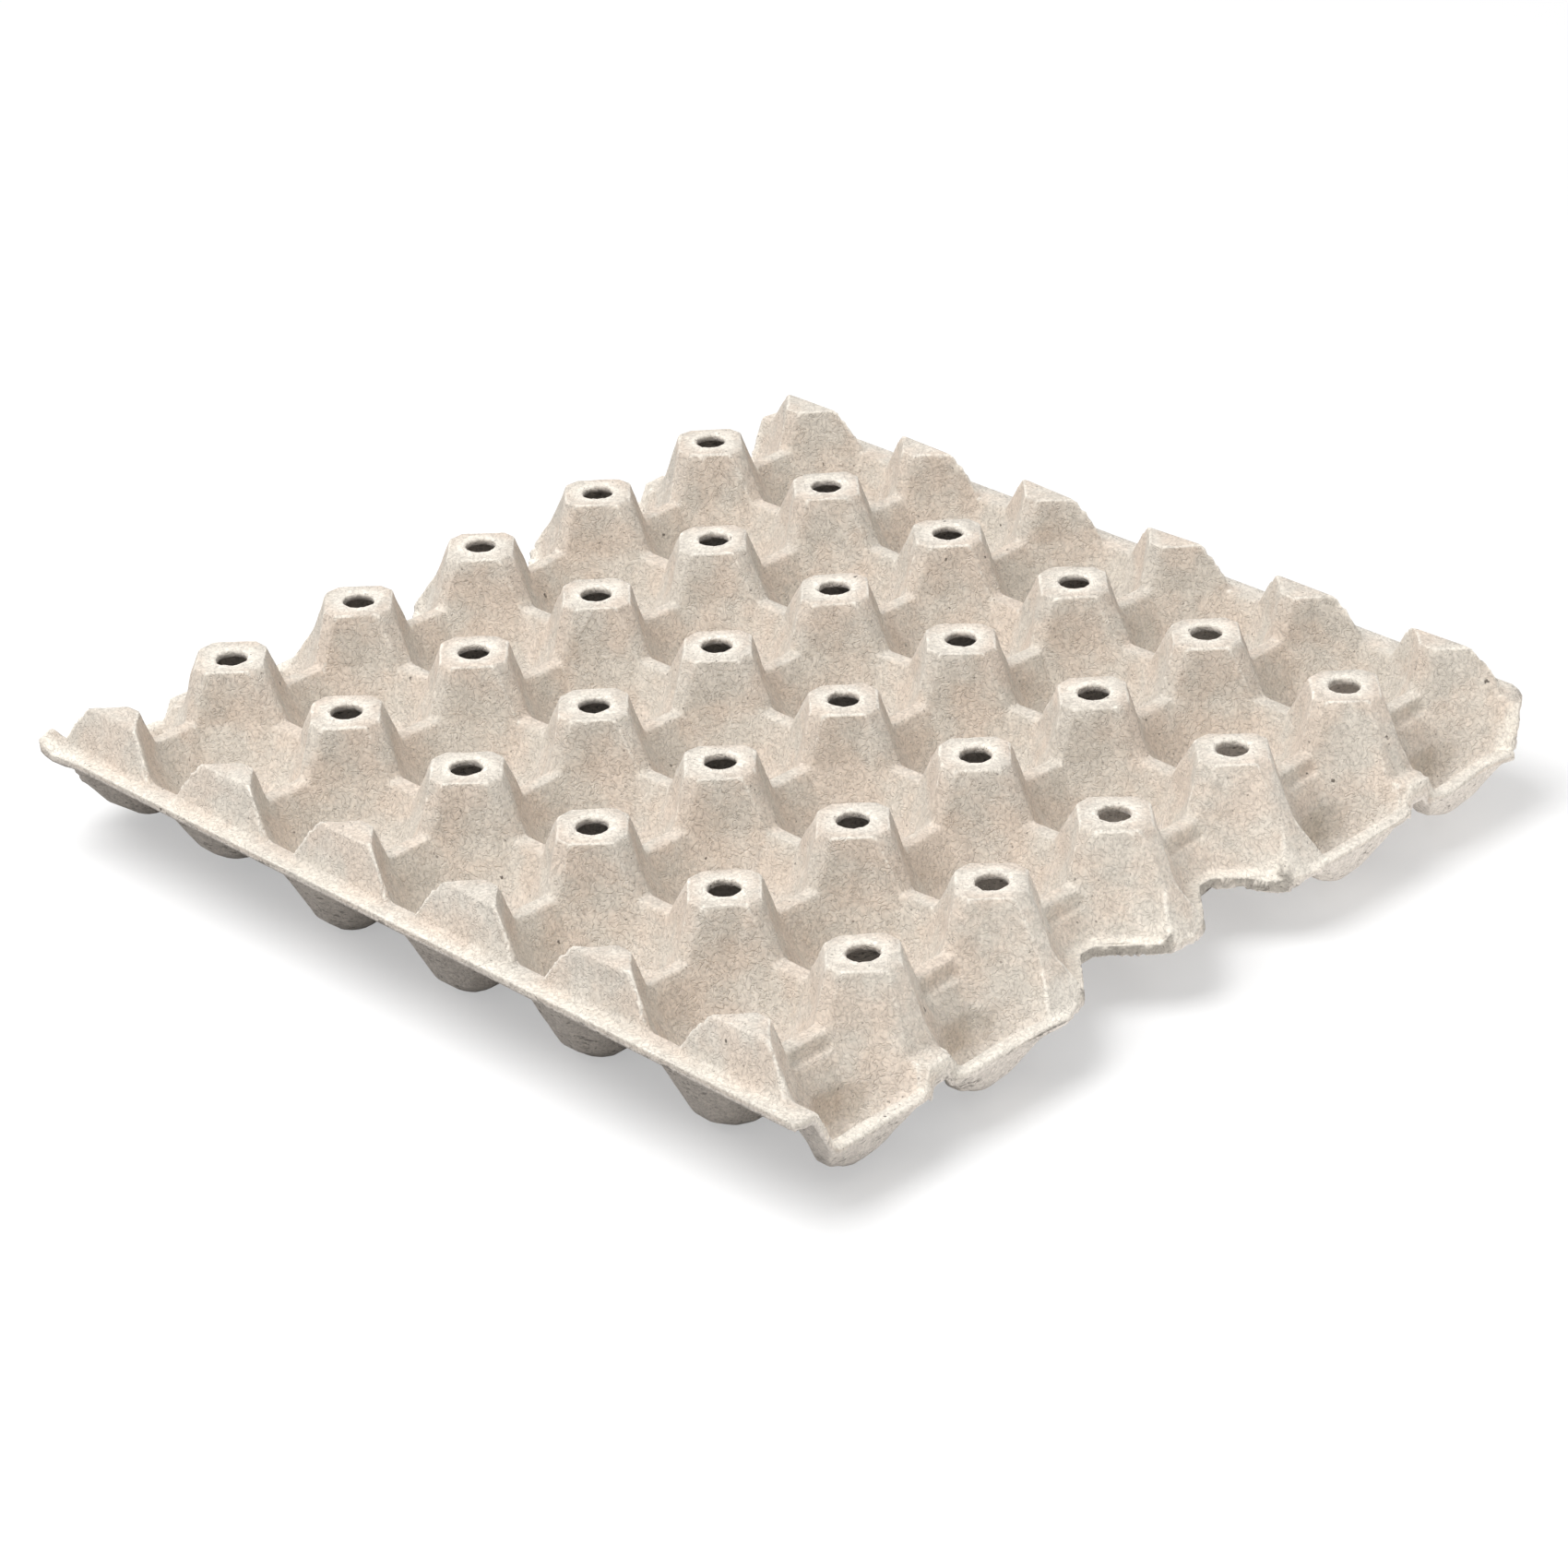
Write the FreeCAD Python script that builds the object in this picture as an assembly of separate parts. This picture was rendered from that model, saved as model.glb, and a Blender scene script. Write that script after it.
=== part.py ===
import FreeCAD, Part
import math
import os

# Pulp egg tray: one moulded sheet with rows of cups between hollow posts.
# Millimetres. X runs along the two sides that have a straight rim, Y along the
# two ends that have open lips. Z points up and the cup feet stand on Z = 0.

# Layout of the cups
CUP_COLUMNS = 5
CUP_ROWS = 6
PITCH_X = 49.0
PITCH_Y = 46.5

# The sheet and its levels
SHEET = 2.4
POST_HEIGHT = 46.5
SADDLE_HEIGHT = 32.0
LIP_HEIGHT = 20.0

# Lower part of a cup, inner face
FOOT_RADIUS = 4.7
BEVEL_RADIUS = 10.6
BEVEL_RISE = 4.8

# Foot that was pushed up on the cup at the first column and row
DENT_LIFT = 4.0

# Saddles: flat bridges between posts, each a hollow fold of the sheet
SADDLE_SIDE = 1.5
SADDLE_GAP = 1.4
SADDLE_LENGTH_X = 11.0
SADDLE_LENGTH_Y = 14.0

# Posts: four broad faces toward the cups and four narrow ridges
POST_TOP = 21.3
RIDGE_WIDTH = 5.0
FACE_HOLLOW = 1.6
POST_HOLE = 9.0

# Straight rim along both sides, with half posts as tabs
RIM_WIDTH = 5.2
RIM_SETBACK_LEFT = 4.5
RIM_SETBACK_RIGHT = 1.0
TAB_LEAN = 4.0
TAB_DROP = 2.0

# Ends: half cups with lips, and a step beside each saddle
END_REACH = 28.5
LIP_WIDTH = 4.0
END_FOOT_RADIUS = 4.0
END_FOOT_OFFSET = 13.8
END_FOOT_LIFT = 3.6
BOWL_BEND_HEIGHT = 0.3
BOWL_BULGE = 1.25
STEP_DROP = 4.5

# Tongues on the second ridge from each corner
TONGUE_HEIGHT = 25.8
TONGUE_WIDTH = 7.2
TONGUE_LENGTH = 8.4
TONGUE_SETBACK = 1.2
TONGUE_FLARE = 0.5

# Finger notches in the middle of both ends
NOTCH_DEPTH = 17.5
NOTCH_FLOOR = 5.4
NOTCH_MOUTH = 40.0

# Cutting bodies reach this far past what they cut
MARGIN = 5.0

CUP_LINE_X = PITCH_X * (CUP_COLUMNS - 1) / 2
CUP_LINE_Y = PITCH_Y * (CUP_ROWS - 1) / 2
POST_LINE_X = PITCH_X * CUP_COLUMNS / 2
POST_LINE_Y = PITCH_Y * CUP_ROWS / 2
END_CUP_X = CUP_LINE_X + PITCH_X
END_X = POST_LINE_X + END_REACH
RIM_Y = POST_LINE_Y + RIM_WIDTH
POST_RISE = POST_HEIGHT - SADDLE_HEIGHT
POST_FOOT_X = (PITCH_X - SADDLE_LENGTH_X) / 2
POST_FOOT_Y = (PITCH_Y - SADDLE_LENGTH_Y) / 2
RIDGE_RUN_X = (POST_FOOT_X - POST_TOP / 2) / POST_RISE
RIDGE_RUN_Y = (POST_FOOT_Y - POST_TOP / 2) / POST_RISE
SADDLE_WIDTH = SADDLE_GAP + 2 * SADDLE_SIDE
CUP_ASPECT = PITCH_Y / PITCH_X
BEVEL_RUN = (BEVEL_RADIUS - FOOT_RADIUS) / BEVEL_RISE
BEVEL_TOP = SHEET + BEVEL_RISE
WALL_RUN = ((PITCH_X - SADDLE_WIDTH) / 2 - BEVEL_RADIUS) / (SADDLE_HEIGHT - BEVEL_TOP)
TAB_RUN = TAB_LEAN / POST_RISE
TONGUE_X1 = END_X - TONGUE_SETBACK
TONGUE_X0 = TONGUE_X1 - TONGUE_LENGTH
MIDDLE_ROWS = (CUP_ROWS // 2 - 1, CUP_ROWS // 2)
CORNER_ANGLES = [math.radians(a) for a in (15, 45, 75)]


def polyhedron(rings):
    """Closed solid between polygons with the same number of corners, bottom first."""
    faces = [Part.Face(Part.makePolygon(ring + ring[:1])) for ring in (rings[0], rings[-1])]
    for lower, upper in zip(rings, rings[1:]):
        for i in range(len(lower)):
            j = (i + 1) % len(lower)
            corners = [lower[i], lower[j], upper[j], upper[i]]
            normal = (corners[1] - corners[0]).cross(corners[2] - corners[0]).normalize()
            if abs(normal.dot(corners[3] - corners[0])) < 1e-6:
                faces.append(Part.Face(Part.makePolygon(corners + corners[:1])))
            else:
                for a, b, c in ((0, 1, 2), (0, 2, 3)):
                    triangle = [corners[a], corners[b], corners[c], corners[a]]
                    faces.append(Part.Face(Part.makePolygon(triangle)))
    solid = Part.makeSolid(Part.makeShell(faces))
    if solid.Volume < 0:
        solid.reverse()
    return solid


def rectangle(xs, ys, z):
    """Corners of a level rectangle between two X values and two Y values."""
    x0, x1 = sorted(xs)
    y0, y1 = sorted(ys)
    return [
        FreeCAD.Vector(x0, y0, z),
        FreeCAD.Vector(x1, y0, z),
        FreeCAD.Vector(x1, y1, z),
        FreeCAD.Vector(x0, y1, z),
    ]


def block(xs, ys, z0, z1):
    """Upright block between two levels."""
    return polyhedron([rectangle(xs, ys, z0), rectangle(xs, ys, z1)])


def twelve_ring(x, y, z, quadrant):
    """Level polygon of twelve corners, mirrored from the three of one quadrant."""
    outline = list(quadrant)
    outline += [(-a, b) for a, b in reversed(quadrant)]
    outline += [(-a, -b) for a, b in quadrant]
    outline += [(a, -b) for a, b in reversed(quadrant)]
    return [FreeCAD.Vector(x + a, y + b, z) for a, b in outline]


def side_shift(run, sheet):
    """Sideways distance between the two faces of a sloping wall, one sheet lower."""
    return sheet * (math.hypot(1, run) - run)


def round_quadrant(radius):
    """Three corners of one quadrant of a round ring."""
    return [(radius * math.cos(a), radius * CUP_ASPECT * math.sin(a)) for a in CORNER_ANGLES]


def post_quadrant(half_x, half_y, half_width, hollow):
    """Two ridge corners of a post and the point between them on its broad face."""
    mid = FreeCAD.Vector(half_x + half_width, half_y + half_width, 0) * 0.5
    mid *= 1 - hollow / mid.Length
    return [(half_x, half_width), (mid.x, mid.y), (half_width, half_y)]


def ridge_half(width, sheet):
    """Half width of a fold, outside or inside."""
    return width / 2 - (SADDLE_SIDE if sheet else 0)


def post_foot(sheet):
    """Quadrant of a post at the level of the saddles."""
    half_x = POST_FOOT_X - side_shift(RIDGE_RUN_X, sheet)
    half_y = POST_FOOT_Y - side_shift(RIDGE_RUN_Y, sheet)
    return post_quadrant(half_x, half_y, ridge_half(SADDLE_WIDTH, sheet), FACE_HOLLOW)


def post_head(drop, sheet):
    """Quadrant of a post at its top, or a little lower down."""
    half_x = POST_TOP / 2 + drop * RIDGE_RUN_X - side_shift(RIDGE_RUN_X, sheet)
    half_y = POST_TOP / 2 + drop * RIDGE_RUN_Y - side_shift(RIDGE_RUN_Y, sheet)
    hollow = FACE_HOLLOW * drop / POST_RISE
    return post_quadrant(half_x, half_y, ridge_half(RIDGE_WIDTH, sheet), hollow)


def bevel_quadrant(sheet):
    """Quadrant of a cup at the top of its bevel."""
    shift = (side_shift(BEVEL_RUN, sheet) + side_shift(WALL_RUN, sheet)) / 2
    return round_quadrant(BEVEL_RADIUS + shift)


def cup_mouth(sheet):
    """Quadrant of a cup at the level of the saddles, where the posts leave it."""
    corners = [(PITCH_X / 2 - a, PITCH_Y / 2 - b) for a, b in post_foot(sheet)]
    return corners[::-1]


def cup_waist(height, sheet):
    """Quadrant of a cup on its wall, at a height of the inner face."""
    share = (height - BEVEL_TOP) / (SADDLE_HEIGHT - BEVEL_TOP)
    quadrant = []
    for (a0, b0), (a1, b1) in zip(bevel_quadrant(sheet), cup_mouth(sheet)):
        quadrant.append((a0 + (a1 - a0) * share, b0 + (b1 - b0) * share))
    return quadrant


def full_cup(x, y, lift, sheet):
    """Hollow of a full cup, or its outer body when a sheet is given."""
    foot = round_quadrant(FOOT_RADIUS + side_shift(BEVEL_RUN, sheet))
    return polyhedron([
        twelve_ring(x, y, SHEET + lift - sheet, foot),
        twelve_ring(x, y, BEVEL_TOP + lift - sheet, bevel_quadrant(sheet)),
        twelve_ring(x, y, SADDLE_HEIGHT - sheet, cup_mouth(sheet)),
    ])


def end_cup(side, y, sheet):
    """Open space over an end cup, down to the level of the lips."""
    x = side * END_CUP_X
    return polyhedron([
        twelve_ring(x, y, LIP_HEIGHT - sheet, cup_waist(LIP_HEIGHT, sheet)),
        twelve_ring(x, y, SADDLE_HEIGHT - sheet, cup_mouth(sheet)),
    ])


def end_bowl(side, y, sheet):
    """Bowl of an end cup below the lips, bulged at a bend partway up its wall."""
    foot_x = side * (POST_LINE_X + END_FOOT_OFFSET)
    foot_z = SHEET + END_FOOT_LIFT - sheet
    foot_radius = END_FOOT_RADIUS + side_shift(BEVEL_RUN, sheet)
    centre = FreeCAD.Vector(foot_x, y, foot_z)
    foot = twelve_ring(foot_x, y, foot_z, round_quadrant(foot_radius))
    waist = cup_waist(LIP_HEIGHT, sheet)
    mouth = twelve_ring(side * END_CUP_X, y, LIP_HEIGHT - sheet, waist)
    wall_x = END_X - LIP_WIDTH + side_shift(WALL_RUN, sheet)
    for corner in mouth:
        corner.x = side * min(side * corner.x, wall_x)
    bend = []
    for low, high in zip(foot, mouth):
        corner = low + (high - low) * BOWL_BEND_HEIGHT - centre
        corner.x *= BOWL_BULGE
        corner.y *= BOWL_BULGE
        bend.append(centre + corner)
    return polyhedron([foot, bend, mouth])


def post(x, y, drop, sheet):
    """Post from the saddles up to its head."""
    return polyhedron([
        twelve_ring(x, y, SADDLE_HEIGHT - sheet, post_foot(sheet)),
        twelve_ring(x, y, POST_HEIGHT - drop - sheet, post_head(drop, sheet)),
    ])


def tab_face(side, sheet):
    """Space outside the leaning faces of the half posts, above the rim."""
    outer = side * (POST_LINE_Y + PITCH_Y)
    rings = []
    for z in (SADDLE_HEIGHT - sheet, POST_HEIGHT + MARGIN):
        inner = side * (POST_LINE_Y - (z - SADDLE_HEIGHT) * TAB_RUN - sheet)
        rings.append(rectangle((-END_X - MARGIN, END_X + MARGIN), (inner, outer), z))
    return polyhedron(rings)


def ridge_wedge(side, ys, run, low, high, sheet):
    """Space over the sloping ends of the ridges that run out to the lips."""
    rings = []
    for z in (low - sheet, high):
        x = POST_LINE_X + POST_TOP / 2 + (POST_HEIGHT - z) * run
        x -= sheet * math.hypot(1, run)
        rings.append(rectangle((side * x, side * (END_X + MARGIN)), ys, z))
    return polyhedron(rings)


def saddle_step(side, y, sheet):
    """Upright step on the outer side of the saddle beside an end cup."""
    x = POST_LINE_X + ridge_half(SADDLE_WIDTH, sheet)
    depth = (STEP_DROP + sheet) * WALL_RUN + sheet
    half = SADDLE_LENGTH_Y / 2
    xs = (side * x, side * (x + depth))
    return block(xs, (y - half, y + half), SADDLE_HEIGHT - STEP_DROP - sheet, SADDLE_HEIGHT)


def tongue(side, y, sheet):
    """Raised end of a ridge, or the arch under it, which also opens the lip."""
    top = TONGUE_WIDTH / 2 - side_shift(TONGUE_FLARE, sheet)
    end = END_X + MARGIN if sheet else TONGUE_X1
    xs = (side * TONGUE_X0, side * end)
    rings = []
    for z in (0.0, TONGUE_HEIGHT - sheet):
        half = top + (TONGUE_HEIGHT - sheet - z) * TONGUE_FLARE
        rings.append(rectangle(xs, (y - half, y + half), z))
    return polyhedron(rings)


def corner_gap(side, end, sheet):
    """Space past the end of a rim, beside the first lip."""
    setback = RIM_SETBACK_RIGHT if end > 0 else RIM_SETBACK_LEFT
    lip_end = CUP_LINE_Y + cup_waist(LIP_HEIGHT, sheet)[-1][1]
    xs = (end * (END_X - setback), end * (END_X + MARGIN))
    ys = (side * lip_end, side * (RIM_Y + MARGIN))
    return block(xs, ys, -2 * MARGIN, SADDLE_HEIGHT + MARGIN)


def surface_body(sheet):
    """Everything under the upper face of the tray, or under its lower face."""
    body = block((-END_X, END_X), (-RIM_Y, RIM_Y), -MARGIN, SADDLE_HEIGHT - sheet)
    cups = []
    for row in range(CUP_ROWS):
        y = -CUP_LINE_Y + row * PITCH_Y
        for column in range(CUP_COLUMNS):
            x = -CUP_LINE_X + column * PITCH_X
            lift = DENT_LIFT if row == 0 and column == 0 else 0.0
            cups.append(full_cup(x, y, lift, sheet))
        for side in (-1, 1):
            cups.append(end_cup(side, y, sheet))
            cups.append(saddle_step(side, y, sheet))
            if row not in MIDDLE_ROWS:
                cups.append(end_bowl(side, y, sheet))
    body = body.cut(cups)

    posts = []
    for row in range(CUP_ROWS + 1):
        y = -POST_LINE_Y + row * PITCH_Y
        drop = TAB_DROP if row in (0, CUP_ROWS) else 0.0
        for column in range(CUP_COLUMNS + 1):
            posts.append(post(-POST_LINE_X + column * PITCH_X, y, drop, sheet))
    body = body.fuse(posts)

    trims = [tab_face(side, sheet) for side in (-1, 1)]
    tongues = []
    for end in (-1, 1):
        span = (-CUP_LINE_Y, CUP_LINE_Y)
        trims.append(ridge_wedge(end, span, RIDGE_RUN_X, LIP_HEIGHT, SADDLE_HEIGHT, sheet))
        steep = TONGUE_X0 - POST_LINE_X - POST_TOP / 2
        steep /= POST_HEIGHT - TONGUE_HEIGHT
        for side in (-1, 1):
            y = side * (POST_LINE_Y - PITCH_Y)
            span = (y - PITCH_Y / 4, y + PITCH_Y / 4)
            high = POST_HEIGHT + MARGIN
            trims.append(ridge_wedge(end, span, steep, TONGUE_HEIGHT, high, sheet))
            tongues.append(tongue(end, y, sheet))
            trims.append(corner_gap(side, end, sheet))
    return body.cut(trims).fuse(tongues)


def post_hole(x, y):
    """Upright hole through the top of a post."""
    corners = [(POST_HOLE / 2 * math.cos(a), POST_HOLE / 2 * math.sin(a)) for a in CORNER_ANGLES]
    rings = []
    for z in (SADDLE_HEIGHT, POST_HEIGHT + MARGIN):
        rings.append(twelve_ring(x, y, z, corners))
    return polyhedron(rings)


def finger_notch(side, y):
    """Cut-out through the lip of a middle end cup."""
    outline = [
        (END_X + MARGIN, NOTCH_MOUTH / 2 + MARGIN),
        (END_X, NOTCH_MOUTH / 2),
        (END_X - NOTCH_DEPTH, NOTCH_FLOOR / 2),
    ]
    corners = [(side * x, y + w) for x, w in outline]
    corners += [(side * x, y - w) for x, w in reversed(outline)]
    rings = []
    for z in (-2 * MARGIN, POST_HEIGHT):
        rings.append([FreeCAD.Vector(a, b, z) for a, b in corners])
    return polyhedron(rings)


def tray():
    """The moulded sheet: upper body less lower body, with holes and notches."""
    shell = surface_body(0.0).cut(surface_body(SHEET))
    cuts = []
    for column in range(CUP_COLUMNS + 1):
        x = -POST_LINE_X + column * PITCH_X
        for row in range(1, CUP_ROWS):
            cuts.append(post_hole(x, -POST_LINE_Y + row * PITCH_Y))
    for side in (-1, 1):
        for row in MIDDLE_ROWS:
            cuts.append(finger_notch(side, -CUP_LINE_Y + row * PITCH_Y))
    return shell.cut(cuts)


os.makedirs("parts", exist_ok=True)
shape = tray().removeSplitter()
shape.exportStep("parts/tray.step")
print("solids", len(shape.Solids), "faces", len(shape.Faces), "valid", shape.isValid())
print("volume", round(shape.Volume), "box", shape.BoundBox)
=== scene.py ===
"""A pulp egg tray, moulded as one sheet, dressed over its solid model."""

import logging
import math
from dataclasses import dataclass, field
from enum import Enum

import bpy
import numpy as np
from mathutils import Matrix, Vector

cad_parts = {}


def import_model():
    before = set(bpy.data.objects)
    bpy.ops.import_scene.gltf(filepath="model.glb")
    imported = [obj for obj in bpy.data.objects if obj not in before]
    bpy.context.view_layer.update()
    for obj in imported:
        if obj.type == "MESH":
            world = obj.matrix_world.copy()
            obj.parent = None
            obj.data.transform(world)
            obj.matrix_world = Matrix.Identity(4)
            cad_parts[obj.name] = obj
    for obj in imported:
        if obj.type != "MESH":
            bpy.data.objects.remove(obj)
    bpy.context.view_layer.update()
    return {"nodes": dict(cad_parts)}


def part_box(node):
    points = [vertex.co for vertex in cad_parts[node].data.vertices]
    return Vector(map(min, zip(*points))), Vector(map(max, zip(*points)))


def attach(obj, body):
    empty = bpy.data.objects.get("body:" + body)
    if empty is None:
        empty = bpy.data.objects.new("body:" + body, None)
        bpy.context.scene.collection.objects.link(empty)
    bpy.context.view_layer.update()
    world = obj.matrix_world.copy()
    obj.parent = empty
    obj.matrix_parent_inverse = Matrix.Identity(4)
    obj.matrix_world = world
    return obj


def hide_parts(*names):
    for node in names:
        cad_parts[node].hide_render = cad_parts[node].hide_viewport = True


LOG = logging.getLogger("egg_tray")
Colour = tuple[float, float, float]
Place = tuple[float, float, float]
WHITE: Colour = (1.0, 1.0, 1.0)
BLACK: Colour = (0.0, 0.0, 0.0)


class Mark(Enum):
    """Named values kept on the tray's mesh, which its finish reads."""

    UNDERSIDE = "underside"
    # Where a painted highlight goes on the up-facing open edges.
    EDGE_HIGHLIGHT = "sheet_edge"
    CUT = "cut_section"
    # Where a painted highlight goes on the up-facing raised folds.
    FOLD_HIGHLIGHT = "raised_fold"
    # Where painted light goes in the cups' low parts.
    CUP_LIGHT = "cup_bottom"


def smoothstep(low: float, high: float, value: np.ndarray) -> np.ndarray:
    """Ease from 0 to 1 between two values.

    Args:
        low: Value that gives 0.
        high: Value that gives 1.
        value: The values to ease.

    Returns:
        One number from 0 to 1 for each value.
    """
    share = np.clip((value - low) / (high - low), 0.0, 1.0)
    return share * share * (3.0 - 2.0 * share)


def ripple(
    points: np.ndarray, wavelength: float, seed: int, waves: int = 28
) -> np.ndarray:
    """Smooth random field made of plane waves, with a spread of about 1.

    Args:
        points: Places in metres, one row each.
        wavelength: Typical distance between crests in metres.
        seed: Seed of the field.
        waves: How many waves are added.

    Returns:
        One value for each point.
    """
    rng = np.random.default_rng(seed)
    total = np.zeros(len(points))
    for _ in range(waves):
        direction = rng.normal(size=3)
        direction /= np.linalg.norm(direction)
        turns = 2.0 * math.pi / (wavelength * rng.uniform(0.7, 1.5))
        total += np.sin(points @ (direction * turns) + rng.uniform(0.0, 2.0 * math.pi))
    return total / math.sqrt(waves / 2.0)


def read_points(mesh: bpy.types.Mesh) -> np.ndarray:
    """Read the vertex places of a mesh as rows in metres."""
    flat = np.zeros(len(mesh.vertices) * 3, np.float32)
    mesh.vertices.foreach_get("co", flat)
    return flat.reshape(-1, 3).astype(float)


def read_normals(mesh: bpy.types.Mesh) -> np.ndarray:
    """Read the vertex normals of a mesh as rows."""
    flat = np.zeros(len(mesh.vertices) * 3, np.float32)
    mesh.vertex_normals.foreach_get("vector", flat)
    return flat.reshape(-1, 3).astype(float)


def write_points(mesh: bpy.types.Mesh, points: np.ndarray) -> None:
    """Write vertex places back to a mesh."""
    mesh.vertices.foreach_set("co", points.astype(np.float32).ravel())
    mesh.update()


def select_only(piece: bpy.types.Object) -> None:
    """Make a piece the active one and the only one selected."""
    bpy.ops.object.select_all(action="DESELECT")
    piece.select_set(True)
    bpy.context.view_layer.objects.active = piece


def finish_modifier(piece: bpy.types.Object, name: str) -> None:
    """Apply one modifier of a piece by name."""
    select_only(piece)
    bpy.ops.object.modifier_apply(modifier=name)


def neighbour_mean(mesh: bpy.types.Mesh, values: np.ndarray) -> np.ndarray:
    """Average a value over the neighbours of each vertex.

    Args:
        mesh: The mesh whose edges join the vertices.
        values: One row of numbers for each vertex.

    Returns:
        The average row over the neighbours of each vertex.
    """
    pairs = np.zeros(len(mesh.edges) * 2, np.int32)
    mesh.edges.foreach_get("vertices", pairs)
    start, end = pairs.reshape(-1, 2).T
    count = np.bincount(pairs, minlength=len(values)).astype(float)
    columns = []
    for column in values.T:
        total = np.bincount(start, weights=column[end], minlength=len(values))
        total += np.bincount(end, weights=column[start], minlength=len(values))
        columns.append(total / np.maximum(count, 1.0))
    return np.stack(columns, axis=1)


def bending(mesh: bpy.types.Mesh, points: np.ndarray, normals: np.ndarray) -> np.ndarray:
    """Measure how sharply the surface is raised at each vertex, at any size of face.

    Args:
        mesh: The mesh whose edges join the vertices.
        points: Places of its vertices.
        normals: Normals of its vertices.

    Returns:
        One over the radius of the bend in metres, positive on a ridge.
    """
    square = (points**2).sum(axis=1)
    around = neighbour_mean(mesh, np.column_stack([points, square]))
    middle = around[:, :3]
    spread = around[:, 3] - 2.0 * (points * middle).sum(axis=1) + square
    rise = ((points - middle) * normals).sum(axis=1)
    return 4.0 * rise / np.maximum(spread, 1e-9)


@dataclass
class SheetPlan:
    """Places on the tray where the sheet ends or bends, in metres."""

    pitch_x: float = 0.049
    pitch_y: float = 0.0465
    columns: int = 5
    rows: int = 6
    end_x: float = 0.151
    rim_y: float = 0.1447
    rim_height: float = 0.032
    lip_end: float = 0.1325
    post_height: float = 0.0465
    hole_radius: float = 0.0045
    notch_depth: float = 0.0175
    notch_floor: float = 0.0027
    notch_mouth: float = 0.020

    def post_lines(self) -> tuple[np.ndarray, np.ndarray]:
        """Give the X and Y places of the posts."""
        xs = (np.arange(self.columns + 1) - self.columns / 2) * self.pitch_x
        ys = (np.arange(self.rows + 1) - self.rows / 2) * self.pitch_y
        return xs, ys

    def to_post(self, points: np.ndarray) -> np.ndarray:
        """Measure the level distance from each point to the nearest post's axis."""
        xs, ys = self.post_lines()
        away_x = np.abs(points[:, 0:1] - xs).min(axis=1)
        away_y = np.abs(points[:, 1:2] - ys).min(axis=1)
        return np.hypot(away_x, away_y)

    def to_notch(self, points: np.ndarray) -> np.ndarray:
        """Measure how far each point lies from the edge of a finger notch.

        Args:
            points: Places in metres, one row each.

        Returns:
            One distance for each point, negative inside a notch.
        """
        inward = self.end_x - np.abs(points[:, 0])
        centre = np.abs(np.abs(points[:, 1]) - self.pitch_y / 2)
        slope = (self.notch_mouth - self.notch_floor) / self.notch_depth
        half = self.notch_mouth - slope * inward
        sideways = (centre - half) / math.hypot(1.0, slope)
        return np.maximum(sideways, inward - self.notch_depth)

    def to_tongue(self, points: np.ndarray) -> np.ndarray:
        """Measure the distance along Y to the middle of the nearest whole tongue."""
        return np.abs(np.abs(points[:, 1]) - 2.0 * self.pitch_y)

    def edge_mask(self, points: np.ndarray, reach: float) -> np.ndarray:
        """Mark the open edges of the sheet.

        Args:
            points: Places in metres, one row each.
            reach: Distance from the edge at which the mark has faded.

        Returns:
            A mark from 0 to 1 for each point.
        """
        x, y, z = np.abs(points[:, 0]), np.abs(points[:, 1]), points[:, 2]
        past = z > self.rim_height - 0.006
        rim = np.where(past, self.rim_y - y, 1.0)
        set_back = np.where(y > self.lip_end - 0.001, 0.0012, 0.0)
        ends = self.end_x - set_back - x
        lips = np.where(z < self.post_height - 0.018, np.maximum(ends, 0.0), 1.0)
        corner = np.where(x > self.end_x - 0.006, np.abs(y - self.lip_end), 1.0)
        corner = np.where(z < self.rim_height, corner, 1.0)
        top = z > self.post_height - 0.0035
        hole = np.where(top, np.abs(self.to_post(points) - self.hole_radius), 1.0)
        near = np.minimum.reduce([rim, lips, corner, hole, np.abs(self.to_notch(points))])
        return 1.0 - smoothstep(reach * 0.35, reach, near)


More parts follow.
